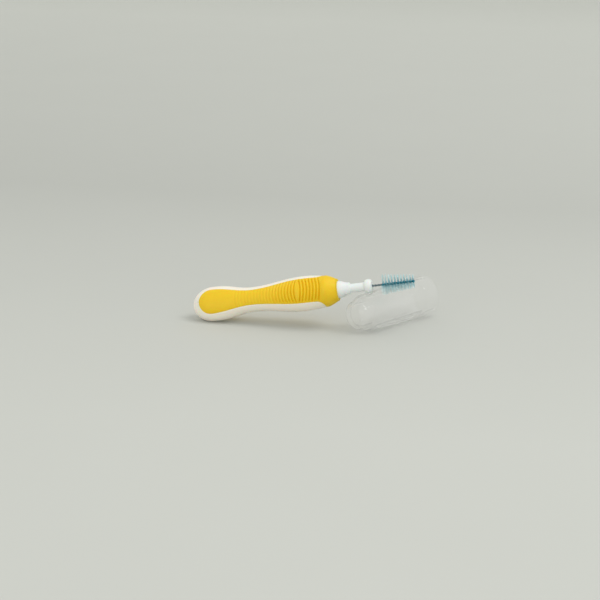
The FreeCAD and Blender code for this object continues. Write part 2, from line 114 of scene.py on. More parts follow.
class HandleSizes(bpy.types.PropertyGroup):
    """Handle, along its own axis from the tail's end."""
    tail_length: length("Tail length", "Tail end to its widest section", 7.0)
    tail_land: length("Tail land", "Stretch of the tail that keeps its widest section", 1.5)
    tail_width: length("Tail width", "Across the broad face at the tail", 11.7)
    tail_thickness: length("Tail thickness", "Through both broad faces at the tail", 8.4)
    waist_station: length("Waist station", "Tail end to the slimmest section", 20.5)
    waist_width: length("Waist width", "Across the broad face at the waist", 8.3)
    waist_thickness: length("Waist thickness", "Through both broad faces at the waist", 7.0)
    belly_station: length("Belly station", "Tail end to the fullest section", 38.0)
    belly_width: length("Belly width", "Across the broad face at the belly", 11.7)
    belly_thickness: length("Belly thickness", "Through both broad faces at the belly", 9.7)
    collar_station: length("Collar station", "Tail end to the front of the collar's ridge", 46.0)
    collar_diameter: length("Collar diameter", "Handle where it runs into the collar", 10.0)
    ridge_diameter: length("Ridge diameter", "Collar's ridge", 10.3)
    ridge_length: length("Ridge length", "Length of the collar's ridge", 0.6)
    ridge_rise: length("Ridge rise", "Stretch in which the handle runs up to the ridge", 0.9)
    collar_length: length("Collar length", "Ridge to the front face", 3.6)
    front_diameter: length("Front diameter", "Collar's front face", 6.8)
    bulge_radius: length("Bulge radius", "Curve of the collar's front cone", 16.0)
    front_edge: length("Front edge", "Rounding of the collar's front face", 0.15)
    passage_diameter: length("Passage diameter", "Hole in the front face for the neck", 5.7)
    panel_setback: length("Panel setback", "Tail end to the end of the soft panel", 2.7)
    panel_tail_width: length("Panel at the tail", "Width of the soft panel at the tail", 8.5)
    panel_waist_width: length("Panel at the waist", "Width of the soft panel at the waist", 5.3)
    panel_belly_width: length("Panel at the belly", "Width of the soft panel at the belly", 8.5)
    flare_lead: length("Flare lead", "Collar's ridge back to where the panel starts to widen", 3.4)
    flare_radius: length("Flare radius", "Curve of the panel's edge round the rim's end", 4.0)
    seam_depth: length("Seam depth", "Fine line between the two mouldings", 0.12)
    seam_width: length("Seam width", "Rounding of each moulding into that line", 0.28)
    groove_pitch: length("Groove pitch", "From one grip groove to the next", 1.08)
    groove_width: length("Groove width", "Mouth of a grip groove", 0.8)
    groove_depth: length("Groove depth", "Grip grooves at the belly", 0.52)
    waist_groove_depth: length("Waist groove depth", "Grip grooves at the waist", 0.1)
    groove_bow: length("Groove bow", "Radius of a groove's bow across the panel", 11.5)
    groove_start: length("Groove start", "Tail end to the first groove", 14.5)
    groove_middle: length("Groove middle", "Tail end to the ridge where the grooves turn their bow", 36.6)
    groove_margin: length("Groove margin", "Last groove to the front of the collar's ridge", 1.3)
    skin: length("Skin", "Wall of each moulding", 0.8)


class HeadSizes(bpy.types.PropertyGroup):
    """Neck, wire and bristles, from the collar's front face on."""
    base_diameter: length("Cone base", "White cone where it leaves the collar", 5.7)
    cone_length: length("Cone length", "Collar's front face to the thin neck", 3.9)
    cone_end: length("Cone end", "Diameter of the cone's front", 4.0)
    ring_depth: length("Ring depth", "Fine rings round the cone's front", 0.09)
    neck_diameter: length("Neck diameter", "Thin neck", 2.9)
    neck_length: length("Neck length", "Cone to the bead", 4.9)
    neck_fillet: length("Neck fillet", "Rounding at both ends of the thin neck", 0.35)
    bead_length: length("Bead length", "Bead at the wire's root", 2.5)
    bead_diameter: length("Bead diameter", "Bead at its fullest", 4.7)
    bead_face: length("Bead face", "Flat ends of the bead", 3.5)
    wire_exposed: length("Wire length", "Bead to the wire's tip", 14.0)
    strand_diameter: length("Strand diameter", "One strand of the twisted wire", 0.34)
    strand_offset: length("Strand offset", "Strand's middle to the wire's axis", 0.2)
    twist_lead: length("Twist lead", "One full turn of the twist", 2.0)
    bristle_setback: length("Bristle setback", "Bead to the first filament", 3.2)
    bristle_margin: length("Bristle margin", "Last filament to the wire's tip", 0.25)
    root_diameter: length("Root diameter", "Bristle head next to the bead", 7.4)
    tip_diameter: length("Tip diameter", "Bristle head at the wire's tip", 4.7)
    filament_diameter: length("Filament diameter", "One nylon filament", 0.075)
    filaments: IntProperty(name="Filaments", description="Filaments to a row of half a twist",
                           default=56, min=1)


class CapSizes(bpy.types.PropertyGroup):
    """Clear cap, from its mouth inwards."""
    length: length("Length", "Mouth to the nose", 29.1)
    mouth_diameter: length("Mouth diameter", "Outside of the mouth", 14.0)
    shoulder_diameter: length("Shoulder diameter", "Outside of the body at its far end", 12.3)
    shoulder_radius: length("Shoulder radius", "Rounding of the body down to the nose", 1.1)
    end_wall: length("End wall", "Chamber's end to the nose", 2.0)
    seat_diameter: length("Seat diameter", "Inside of the mouth", 11.9)
    seat_depth: length("Seat depth", "Mouth to the step inside", 5.0)
    chamber_diameter: length("Chamber diameter", "Inside behind the step", 10.5)
    nose_length: length("Nose length", "Body to the closed end", 4.7)
    nose_radius: length("Nose radius", "Rounding of the closed end", 3.2)
    nose_bore: length("Nose bore", "Hollow of the nose", 7.6)
    nose_wall: length("Nose wall", "Wall of the closed end", 1.9)
    edge: length("Edge", "Rounding of the cap's edges", 0.25)


class Finishes(bpy.types.PropertyGroup):
    """Colours of the materials."""
    core_colour: colour("Core", "Hard white polypropylene of the neck", "#E9EEEC")
    rim_colour: colour("Rim", "The same where it is thin and the yellow shows through", "#F6EEDF")
    grip_colour: colour("Grip", "Soft yellow elastomer", "#F2C912")
    steel_colour: colour("Steel", "Twisted wire", "#6F8288")
    # The middle nylon colour is the filaments' own. The one at the wire is painted shade among the crowded
    # roots, and the one at the tips is painted light through single filaments.
    nylon_root_shade_colour: colour("Nylon at the wire", "Filaments where they stand close together", "#1A98AE")
    nylon_colour: colour("Nylon", "Filaments between the wire and their tips", "#92D3DE")
    nylon_tip_light_colour: colour("Nylon at the tips", "Single filaments that let the light through", "#D8F2F4")
    cap_colour: colour("Cap", "Clear polystyrene", "#FFFFFF")
    floor_colour: colour("Floor", "Pale studio paper", "#C8CAC4")


class Studio(bpy.types.PropertyGroup):
    """Camera, floor and lamps."""
    aim: place("Aim", "Point that the camera looks at", (-4.3, -8.86, 8.75))
    distance: length("Distance", "Camera to its aim", 509.0)
    azimuth: angle("Azimuth", "Turn of the camera towards the tip", 10.2)
    elevation: angle("Elevation", "Height of the camera over the aim", 17.25)
    camera_roll: angle("Camera's roll", "Turn of the camera about its own view", 0.7)
    field: angle("Field of view", "Across the whole picture", 22.0)
    floor_width: length("Floor width", "Studio paper, from side to side", 2400.0)
    floor_front: length("Floor front", "Studio paper before the object", 1500.0)
    floor_back: length("Floor back", "Object to the upright part of the paper", 1500.0)
    sweep: length("Sweep", "Bend of the paper", 300.0)
    wall_height: length("Wall height", "Upright part of the paper", 900.0)
    overhead_place: place("Overhead lamp", "Where the main lamp hangs", (500.0, 0.0, 850.0))
    overhead_size: length("Overhead size", "Side of the main lamp", 450.0)
    overhead_power: power("Overhead power", "Main lamp", 2.6)
    fill_place: place("Fill lamp", "Where the weaker lamp stands", (-300.0, -900.0, 400.0))
    fill_size: length("Fill size", "Side of the weaker lamp", 600.0)
    fill_power: power("Fill power", "Weaker lamp", 1.4)
    air_strength: FloatProperty(name="Air", description="Even light from all round", default=0.8)


SETTINGS = (
    ("brush_layout", BrushLayout),
    ("brush_handle", HandleSizes),
    ("brush_head", HeadSizes),
    ("brush_cap", CapSizes),
    ("brush_finishes", Finishes),
    ("brush_studio", Studio),
)


def settings(name):
    """Plain copy of one group of settings, with vectors as Vector."""
    group = getattr(bpy.context.scene, name)
    values = {key: getattr(group, key) for key in type(group).__annotations__}
    return SimpleNamespace(**{key: Vector(value) if hasattr(value, "__len__") else value
                              for key, value in values.items()})


def brush_matrix():
    """From the brush's own axes, X from tail to tip and Z out of a broad face, to where it lies."""
    layout = settings("brush_layout")
    return (Matrix.Translation(layout.tail_point) @ Matrix.Rotation(-layout.pitch, 4, "Y")
            @ Matrix.Rotation(QUARTER - layout.roll, 4, "X"))


def cap_matrix():
    """From the cap's own axes, X from the mouth inwards, to where it lies on its side."""
    layout = settings("brush_layout")
    cap = settings("brush_cap")
    taper = math.atan((cap.mouth_diameter - cap.shoulder_diameter) / 2 / (cap.length - cap.shoulder_radius))
    return (Matrix.Translation(layout.mouth_point) @ Matrix.Rotation(layout.cap_yaw, 4, "Z")
            @ Matrix.Rotation(-taper, 4, "Y") @ Matrix.Rotation(math.pi, 4, "Z"))


def eased(first, second, share):
    """Value on an easy curve from one value to another."""
    share = max(0.0, min(1.0, share))
    return first + (second - first) * (1 - math.cos(math.pi * share)) / 2


class HandleForm:
    """Outer shape of the handle along its own axis."""

    # Steps along the panel's round end, halvings that find the rim's tip, grooves in which the bow turns.
    arc_steps = 16
    halvings = 40
    bow_turn = 3

    def __init__(self):
        self.sizes = settings("brush_handle")
        s = self.sizes
        self.tail = (s.tail_width / 2, s.tail_thickness / 2)
        self.waist = (s.waist_width / 2, s.waist_thickness / 2)
        self.belly = (s.belly_width / 2, s.belly_thickness / 2)
        self.dome_end = s.tail_length + s.tail_land
        self.ridge_back = s.collar_station - s.ridge_length
        self.front = s.collar_station + s.collar_length

    def shaft(self, x):
        """Half width and half thickness of the handle without its collar."""
        s = self.sizes
        if x < s.tail_length:
            share = math.sqrt(max(0.0, 1 - (1 - x / s.tail_length) ** 2))
            return tuple(half * share for half in self.tail)
        if x < s.waist_station:
            share = (x - self.dome_end) / (s.waist_station - self.dome_end)
            return tuple(eased(*pair, share) for pair in zip(self.tail, self.waist))
        if x < s.belly_station:
            share = (x - s.waist_station) / (s.belly_station - s.waist_station)
            return tuple(eased(*pair, share) for pair in zip(self.waist, self.belly))
        share = 1 - math.cos(QUARTER * (x - s.belly_station) / (s.collar_station - s.belly_station))
        return tuple(half + (s.collar_diameter / 2 - half) * share for half in self.belly)

    def girth(self, x):
        """Half width and half thickness, up to the collar's ridge."""
        s = self.sizes
        share = (x - self.ridge_back + s.ridge_rise) / s.ridge_rise
        shaft = self.shaft(min(x, s.collar_station))
        return tuple(eased(half, s.ridge_diameter / 2, share) for half in shaft)

    def cone_radius(self, x):
        """Radius of the collar's rounded front cone."""
        s = self.sizes
        drop = (s.ridge_diameter - s.front_diameter) / 2
        chord = math.hypot(s.collar_length, drop)
        rise = math.sqrt(s.bulge_radius ** 2 - (chord / 2) ** 2)
        centre_x = s.collar_station + s.collar_length / 2 - drop / chord * rise
        centre_r = (s.ridge_diameter + s.front_diameter) / 4 - s.collar_length / chord * rise
        return centre_r + math.sqrt(s.bulge_radius ** 2 - (x - centre_x) ** 2)

    def panel_half(self, x):
        """Half width of the soft panel."""
        s = self.sizes
        end = s.panel_tail_width / 2
        end_x = s.panel_setback + end
        flare_x = s.collar_station - s.flare_lead
        if x < end_x:
            return math.sqrt(max(0.0, end ** 2 - (end_x - x) ** 2))
        if x < s.waist_station:
            return eased(end, s.panel_waist_width / 2, (x - end_x) / (s.waist_station - end_x))
        if x < flare_x:
            share = (x - s.waist_station) / (s.belly_station - s.waist_station)
            return eased(s.panel_waist_width / 2, s.panel_belly_width / 2, share)
        run = min(x - flare_x, s.flare_radius)
        return s.panel_belly_width / 2 + s.flare_radius - math.sqrt(s.flare_radius ** 2 - run ** 2)

    def panel_arc(self):
        """Stations along the round end of the soft panel."""
        end = self.sizes.panel_tail_width / 2
        turns = steps(0, QUARTER, self.arc_steps)
        return [self.sizes.panel_setback + end * (1 - math.cos(turn)) for turn in turns]

    def seam_angle(self, x):
        """Angle from the middle of the broad face to the panel's edge, as the section's own parameter."""
        half_width = self.girth(x)[0]
        return math.asin(min(1.0, self.panel_half(x) / half_width)) if half_width else 0.0

    def rim_end(self):
        """Station at which the panel's edge has widened to the whole handle."""
        low = self.sizes.collar_station - self.sizes.flare_lead
        high = self.sizes.collar_station
        for halving in range(self.halvings):
            middle = (low + high) / 2
            if self.panel_half(middle) < self.girth(middle)[0]:
                low = middle
            else:
                high = middle
        return low

    def seam_drop(self, distance):
        """Depth of the fine line between the mouldings, at a distance from it."""
        share = max(0.0, 1 - distance / self.sizes.seam_width)
        return self.sizes.seam_depth * share * share

    def bow(self, station):
        """Share of the grooves' bow that a station follows: to the tail, then to the tip past the ridge."""
        s = self.sizes
        past_middle = (station - s.groove_middle) / s.groove_pitch
        past_last = station - s.collar_station + s.groove_margin
        share = eased(1, -1, past_middle / self.bow_turn + 0.5)
        share *= eased(0, 1, (station - s.panel_tail_width) / (s.groove_start - s.panel_tail_width))
        return share * eased(1, 0, past_last / (s.groove_margin - s.ridge_length))

    def groove(self, station):
        """Depth of the grip grooves at a station."""
        s = self.sizes
        number = round((station - s.groove_middle) / s.groove_pitch)
        middle = s.groove_middle + number * s.groove_pitch
        if number == 0 or middle < s.groove_start or middle > s.collar_station - s.groove_margin:
            return 0.0
        swell = (middle - s.waist_station) / (s.belly_station - s.waist_station)
        depth = eased(s.waist_groove_depth, s.groove_depth, swell)
        return depth * eased(1, 0, abs(station - middle) / (s.groove_width / 2))

    def point(self, x, turn, sink):
        """Point on the section at x, turned from the middle of the broad face, sunk below the surface."""
        half_width, half_thickness = self.girth(x)
        across, upwards = math.sin(turn), math.cos(turn)
        normal = Vector((0, across * half_thickness, upwards * half_width))
        if normal.length:
            normal.normalize()
        return Vector((x, half_width * across, half_thickness * upwards)) - normal * sink


def steps(first, last, count):
    """Evenly spaced values, both ends included."""
    return [first + (last - first) * step / count for step in range(count + 1)]


def corner(x, radius, way_in, way_out, edge, count):
    """Rounded corner of a turned profile, between the two directions in which it is left."""
    points = []
    for turn in steps(0, QUARTER, count):
        first, second = edge * (1 - math.sin(turn)), edge * (1 - math.cos(turn))
        points.append((x + first * way_in[0] + second * way_out[0],
                       radius + first * way_in[1] + second * way_out[1]))
    return points


def clear_selection():
    """Leaves nothing selected, so that the next operators act on the new piece alone."""
    if bpy.context.mode != "OBJECT":
        bpy.ops.object.mode_set(mode="OBJECT")
    bpy.ops.object.select_all(action="DESELECT")


def select_only(piece):
    """Selects one piece alone and makes it the active one."""
    clear_selection()
    piece.select_set(True)
    bpy.context.view_layer.objects.active = piece


def apply_place():
    """Moves the selected piece's place, turn and scale into its mesh."""
    bpy.ops.object.transform_apply(location=True, rotation=True, scale=True)


def laid_grid(name, columns, rows, lay):
    """Grid of columns by rows whose points are laid over a surface by a function of both numbers."""
    clear_selection()
    bpy.ops.mesh.primitive_grid_add(x_subdivisions=columns - 1, y_subdivisions=rows - 1, size=2)
    piece = bpy.context.object
    piece.name = name
    for vertex in piece.data.vertices:
        column = round((vertex.co.x + 1) / 2 * (columns - 1))
        row = round((vertex.co.y + 1) / 2 * (rows - 1))
        vertex.co = lay(column, row)
    return piece


def turned(name, profile, sides, fill_start=False, fill_end=False):
    """Piece turned about X: a ring of the first radius, drawn out from point to point of the profile."""
    clear_selection()
    start, radius = profile[0]
    bpy.ops.mesh.primitive_circle_add(vertices=sides, radius=radius, location=(start, 0, 0),
                                      rotation=(0, QUARTER, 0))
    piece = bpy.context.object
    piece.name = name
    apply_place()
    bpy.ops.object.mode_set(mode="EDIT")
    bpy.ops.mesh.select_all(action="SELECT")
    if fill_start:
        bpy.ops.mesh.edge_face_add()
        bpy.ops.mesh.select_all(action="SELECT")
    for (x, radius), (next_x, next_radius) in zip(profile, profile[1:]):
        bpy.ops.mesh.extrude_edges_move(TRANSFORM_OT_translate={"value": (next_x - x, 0, 0)})
        scale = next_radius / radius
        bpy.ops.transform.resize(value=(1, scale, scale), center_override=(next_x, 0, 0))
    if fill_end:
        bpy.ops.mesh.edge_face_add()
    bpy.ops.object.mode_set(mode="OBJECT")
    return piece


def join(pieces, name):
    """Joins pieces into the first one."""
    clear_selection()
    for piece in pieces:
        piece.select_set(True)
    bpy.context.view_layer.objects.active = pieces[0]
    if len(pieces) > 1:
        bpy.ops.object.join()
    pieces[0].name = name
    return pieces[0]


def close_up(piece, gap):
    """Merges points that lie together and turns all faces outwards."""
    select_only(piece)
    bpy.ops.object.mode_set(mode="EDIT")
    bpy.ops.mesh.select_all(action="SELECT")
    bpy.ops.mesh.remove_doubles(threshold=gap)
    bpy.ops.mesh.normals_make_consistent(inside=False)
    bpy.ops.object.mode_set(mode="OBJECT")


def apply_modifier(piece, kind, **values):
    """Adds a modifier with its values and applies it."""
    select_only(piece)
    modifier = piece.modifiers.new(kind.title(), kind)
    for key, value in values.items():
        setattr(modifier, key, value)
    bpy.ops.object.modifier_apply(modifier=modifier.name)


def finish(piece, matrix, body, nodes, material, smooth_angle):
    """Lays a finished piece in its place, with its material, and lets it ride on its body."""
    select_only(piece)
    piece.matrix_world = matrix
    apply_place()
    bpy.ops.object.shade_smooth_by_angle(angle=smooth_angle)
    piece.data.materials.clear()
    piece.data.materials.append(material)
    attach(piece, body)
    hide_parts(*nodes)


def link(node, links):
    """Links each source, a socket or a node's first live output, to one of a node's sockets."""
    for key, source in links.items():
        if isinstance(source, bpy.types.Node):
            source = next(socket for socket in source.outputs if socket.enabled)
        node.id_data.links.new(source, node.inputs[key])


def add_node(tree, kind, values=None, links=None, stops=()):
    """Adds a node, sets its properties, its sockets and the stops of its ramp, and links its sockets."""
    node = tree.nodes.new("ShaderNode" + kind)
    for key, value in (values or {}).items():
        if key in node.inputs:
            node.inputs[key].default_value = value
        else:
            setattr(node, key, value)
    for position, rgb in stops[1:-1]:
        node.color_ramp.elements.new(position)
    for number, (position, rgb) in enumerate(stops):
        node.color_ramp.elements[number].position = position
        node.color_ramp.elements[number].color = with_alpha(rgb)
    link(node, links or {})
    return node


def new_material(name, values):
    """Material with one principled shader; gives it, its tree, that shader and the object's own places."""
    material = bpy.data.materials.new(name)
    material.use_nodes = True
    shader = material.node_tree.nodes["Principled BSDF"]
    for key, value in values.items():
        shader.inputs[key].default_value = value
    where = add_node(material.node_tree, "TexCoord").outputs["Object"]
    return material, material.node_tree, shader, where


def with_alpha(rgb):
    """Colour with full alpha."""
    return (*rgb, 1.0)


def moulded_polypropylene():
    """Hard white polypropylene from a satin mould: a soft gloss that breaks up a little, and a white that is
    cool at the neck and warmer at the rim, where the yellow behind it shows through."""
    finishes = settings("brush_finishes")
    material, tree, shader, where = new_material("moulded polypropylene", {
        "IOR": 1.49, "Subsurface Weight": 0.15, "Subsurface Scale": 1.0 * MM})
    cloud_size = 3.0 * MM
    # Coarser than the real grain of the mould, so that it shows.
    grain_size = 0.25 * MM
    cloud = add_node(tree, "TexNoise", {"Scale": 1 / cloud_size, "Detail": 2.0}, {"Vector": where})
    grain = add_node(tree, "TexNoise", {"Scale": 1 / grain_size, "Detail": 1.0}, {"Vector": where})
    warmth = add_node(tree, "Attribute", {"attribute_name": WARMTH}).outputs["Fac"]
    cool, warm = with_alpha(finishes.core_colour), with_alpha(finishes.rim_colour)
    white = add_node(tree, "Mix", {"data_type": "RGBA", "A": cool, "B": warm}, {"Factor": warmth})
    shade = add_node(tree, "MapRange", {"To Min": 1.0, "To Max": 0.97}, {"Value": cloud})
    link(shader, {
        "Base Color": add_node(tree, "HueSaturation", links={"Color": white, "Value": shade}),
        "Roughness": add_node(tree, "MapRange", {"To Min": 0.3, "To Max": 0.44}, {"Value": cloud}),
        "Normal": add_node(tree, "Bump", {"Strength": 0.06, "Distance": 0.05 * MM}, {"Height": grain})})
    return material


def soft_elastomer():
    """Soft yellow elastomer: a deep yellow, nearly matt, with a fine grain and a little light inside it."""
    finishes = settings("brush_finishes")
    material, tree, shader, where = new_material("thermoplastic elastomer", {
        "IOR": 1.5, "Subsurface Weight": 0.2, "Subsurface Scale": 0.8 * MM, "Specular IOR Level": 0.4})
    cloud_size = 2.0 * MM
    # Coarser than the real grain of the mould, so that it shows.
    grain_size = 0.3 * MM
    yellow, deeper = with_alpha(finishes.grip_colour), with_alpha(finishes.grip_colour * 0.94)
    cloud = add_node(tree, "TexNoise", {"Scale": 1 / cloud_size, "Detail": 3.0}, {"Vector": where})
    grain = add_node(tree, "TexNoise", {"Scale": 1 / grain_size, "Detail": 2.0}, {"Vector": where})
    tint = add_node(tree, "Mix", {"data_type": "RGBA", "A": yellow, "B": deeper}, {"Factor": cloud})
    link(shader, {
        "Base Color": tint,
        "Roughness": add_node(tree, "MapRange", {"To Min": 0.46, "To Max": 0.6}, {"Value": cloud}),
        "Normal": add_node(tree, "Bump", {"Strength": 0.12, "Distance": 0.06 * MM}, {"Height": grain})})
    return material


def drawn_steel():
    """Drawn stainless wire: a grey metal with fine drawing lines along it, teal where it holds filaments, in
    the deep root teal that is partly painted shade among them.
    """
    finishes = settings("brush_finishes")
    material, tree, shader, where = new_material("drawn stainless steel", {"Metallic": 1.0})
    line_size = 0.05 * MM
    drawn_out = (0.1, 1.0, 1.0)
    bright, dark = with_alpha(finishes.steel_colour), with_alpha(finishes.steel_colour * 0.8)
    along = add_node(tree, "Mapping", {"Scale": drawn_out}, {"Vector": where})
    lines = add_node(tree, "TexNoise", {"Scale": 1 / line_size, "Detail": 1.0}, {"Vector": along})
    grey = add_node(tree, "Mix", {"data_type": "RGBA", "A": bright, "B": dark}, {"Factor": lines})
    held = add_node(tree, "Attribute", {"attribute_name": HELD}).outputs["Fac"]
    # The held stretch takes the deep teal of the crowded roots: their colour, partly painted shade.
    teal = with_alpha(finishes.nylon_root_shade_colour)
    link(shader, {
        "Base Color": add_node(tree, "Mix", {"data_type": "RGBA", "B": teal}, {"A": grey, "Factor": held}),
        "Roughness": add_node(tree, "MapRange", {"To Min": 0.25, "To Max": 0.42}, {"Value": lines})})
    return material


def nylon():
    """Extruded nylon filament: a deeper teal painted at the wire as shade among the crowded filaments, and
    paler towards the tips as painted light through single ones.
    """
    finishes = settings("brush_finishes")
    material, tree, shader, where = new_material("nylon filament", {
        "IOR": 1.53, "Roughness": 0.3, "Transmission Weight": 0.3})
    patch_size = 0.6 * MM
    patch = add_node(tree, "TexNoise", {"Scale": 1 / patch_size, "Detail": 1.0}, {"Vector": where})
    reach = add_node(tree, "Attribute", {"attribute_name": REACH}).outputs["Fac"]
    sway = add_node(tree, "MapRange", {"To Min": -0.06, "To Max": 0.06}, {"Value": patch})
    along = add_node(tree, "Math", {"operation": "ADD"}, {0: reach, 1: sway})
    # Painted shade and light along each filament: deep teal at the wire for the shade among crowded roots,
    # the nylon's own colour between, and pale tips for light through single filaments.
    stops = (
        (0.08, finishes.nylon_root_shade_colour), (0.18, finishes.nylon_colour), (0.6, finishes.nylon_tip_light_colour))
    link(shader, {"Base Color": add_node(tree, "ValToRGB", links={"Fac": along}, stops=stops)})
    return material


def clear_polystyrene():
    """Clear moulded polystyrene: nearly unseen walls that throw hardly any shadow, a hard gloss, and a haze
    from handling. The index is set low, as thin walls shift what is behind them less than a block would."""
    finishes = settings("brush_finishes")
    material, tree, shader, where = new_material("clear polystyrene", {
        "Base Color": with_alpha(finishes.cap_colour), "IOR": 1.06, "Transmission Weight": 0.94,
        "Coat Weight": 1.0, "Coat Roughness": 0.03, "Alpha": 0.46})
    haze_size = 1.5 * MM
    haze = add_node(tree, "TexNoise", {"Scale": 1 / haze_size, "Detail": 2.0}, {"Vector": where})
    link(shader, {
        "Roughness": add_node(tree, "MapRange", {"To Min": 0.1, "To Max": 0.2}, {"Value": haze})})
    return material


def studio_paper():
    """Pale matt background paper, a little cloudy, with painted light and shade along its depth: darkest a
    little way behind the object, lighter towards the front, and lightest far back and up the wall.
    """
    finishes = settings("brush_finishes")
    material, tree, shader, where = new_material("studio paper", {
        "Roughness": 0.9, "Specular IOR Level": 0.1})
    cloud_size = 60.0 * MM
    cloud_shade = with_alpha((0.98, 0.98, 0.98))
    near, far = -100.0 * MM, 900.0 * MM
    # Painted light and shade: shares of the paper's colour from front to back, darkest a little way behind
    # the object.
    painted_light_tones = ((0.0, 1.02), (0.2, 0.93), (0.27, 0.89), (0.45, 0.98), (0.9, 1.17))
    cloud = add_node(tree, "TexNoise", {"Scale": 1 / cloud_size, "Detail": 2.0}, {"Vector": where})
    back = add_node(tree, "SeparateXYZ", links={"Vector": where}).outputs["Y"]
    depth = add_node(tree, "MapRange", {"From Min": near, "From Max": far}, {"Value": back})
    stops = [(position, finishes.floor_colour * tone) for position, tone in painted_light_tones]
    ramp = add_node(tree, "ValToRGB", links={"Fac": depth}, stops=stops)
    link(shader, {"Base Color": add_node(
        tree, "Mix", {"data_type": "RGBA", "blend_type": "MULTIPLY", "B": cloud_shade},
        {"A": ramp, "Factor": cloud})})
    return material


def mark(piece, name, value):
    """Stores a value for each point of a piece, as a function of the point's own place, for its material."""
    attribute = piece.data.attributes.new(name, "FLOAT", "POINT")
    attribute.data.foreach_set("value", [value(vertex.co) for vertex in piece.data.vertices])


def edge_shares(fine, coarse):
    """Shares from 0 to 1 that lie close together at both ends."""
    inner = steps(fine[-1], 1 - fine[-1], coarse)
    return list(fine[:-1]) + inner + [1 - share for share in reversed(fine[:-1])]


class INTERDENTAL_OT_hard_core(bpy.types.Operator):
    """Models the hard white core: the rim round both soft panels, the tail, the cone, neck and bead"""
    bl_idname = "interdental.hard_core"
    bl_label = "Hard core"

    dome_steps = 24
    side_steps = 80
    tip_steps = 28
    seam_rows = (0, 0.008, 0.018, 0.03, 0.05)
    rim_rows = 24
    neck_sides = 64
    cone_steps = 24
    fillet_steps = 5
    bead_steps = 16
    hole_flare = 1.15

    # Fine rings on the cone: waves over its whole length, how narrow they are, and where the first one lies.
    ring_waves = 4
    ring_power = 4
    ring_start = 0.55

    def rim(self, form, side):
        turns = steps(0, QUARTER, self.dome_steps)
        dome = [form.sizes.tail_length * (1 - math.cos(turn)) for turn in turns]
        arc = form.panel_arc()
        end, flare = form.rim_end(), form.sizes.flare_lead
        tip = [end - flare * (1 - math.sin(turn)) for turn in steps(0, QUARTER, self.tip_steps)]
        sides = steps(arc[-1], tip[0], self.side_steps)[1:-1]
        stations = [x for x in dome if x < arc[0]] + arc + sides + tip
        shares = edge_shares(self.seam_rows, self.rim_rows)

        def lay(column, row):
            x = stations[column]
            seam = form.seam_angle(x) if x > form.sizes.panel_setback else 0.0
            turn = seam + (math.pi - 2 * seam) * shares[row]
            distance = min(shares[row], 1 - shares[row]) * (math.pi - 2 * seam) * form.girth(x)[0]
            point = form.point(x, turn, form.seam_drop(distance) if seam else 0.0)
            point.y *= side
            return point

        return laid_grid("rim", len(stations), len(shares), lay)

    def neck(self, form):
        head = settings("brush_head")
        cone_end = form.front + head.cone_length
        bead_back = cone_end + head.neck_length
        base, front, thin = head.base_diameter / 2, head.cone_end / 2, head.neck_diameter / 2
        fillet = head.neck_fillet
        profile = [(form.ridge_back, base), (form.front, base)]
        for share in steps(0, 1, self.cone_steps)[1:]:
            wave = max(0.0, math.sin(2 * math.pi * self.ring_waves * share)) ** self.ring_power
            ring = head.ring_depth * wave if share > self.ring_start else 0.0
            x = form.front + (head.cone_length - fillet / 2) * share
            profile.append((x, eased(base, front, share) - ring))
        profile += corner(cone_end, front, BACK, INWARDS, fillet / 2, self.fillet_steps)
        profile += corner(cone_end, thin, OUTWARDS, AHEAD, fillet, self.fillet_steps)
        profile += corner(bead_back, thin, BACK, OUTWARDS, fillet, self.fillet_steps)
        for share in steps(0, 1, self.bead_steps):
            swell = math.sqrt(1 - (2 * share - 1) ** 2)
            radius = head.bead_face / 2 + (head.bead_diameter - head.bead_face) / 2 * swell
            profile.append((bead_back + head.bead_length * share, radius))
        wire_hole = head.strand_offset + head.strand_diameter / 2
        bead_tip = bead_back + head.bead_length
        profile += [(bead_tip, wire_hole * self.hole_flare), (bead_tip - wire_hole, wire_hole)]
        return turned("neck", profile, self.neck_sides, fill_start=True, fill_end=True)

    def execute(self, context):
        form = HandleForm()
        rim = join([self.rim(form, side) for side in (1, -1)], "rim")
        close_up(rim, MERGE)
        apply_modifier(rim, "SOLIDIFY", thickness=form.sizes.skin, offset=-1.0)
        neck = self.neck(form)
        close_up(neck, MERGE)
        core = join([rim, neck], "hard_core")
        mark(core, WARMTH, lambda point: 1.0 if point.x < form.ridge_back else 0.0)
        finish(core, brush_matrix(), BRUSH, ["handle_core"],
               moulded_polypropylene(), SMOOTH)
        return {"FINISHED"}


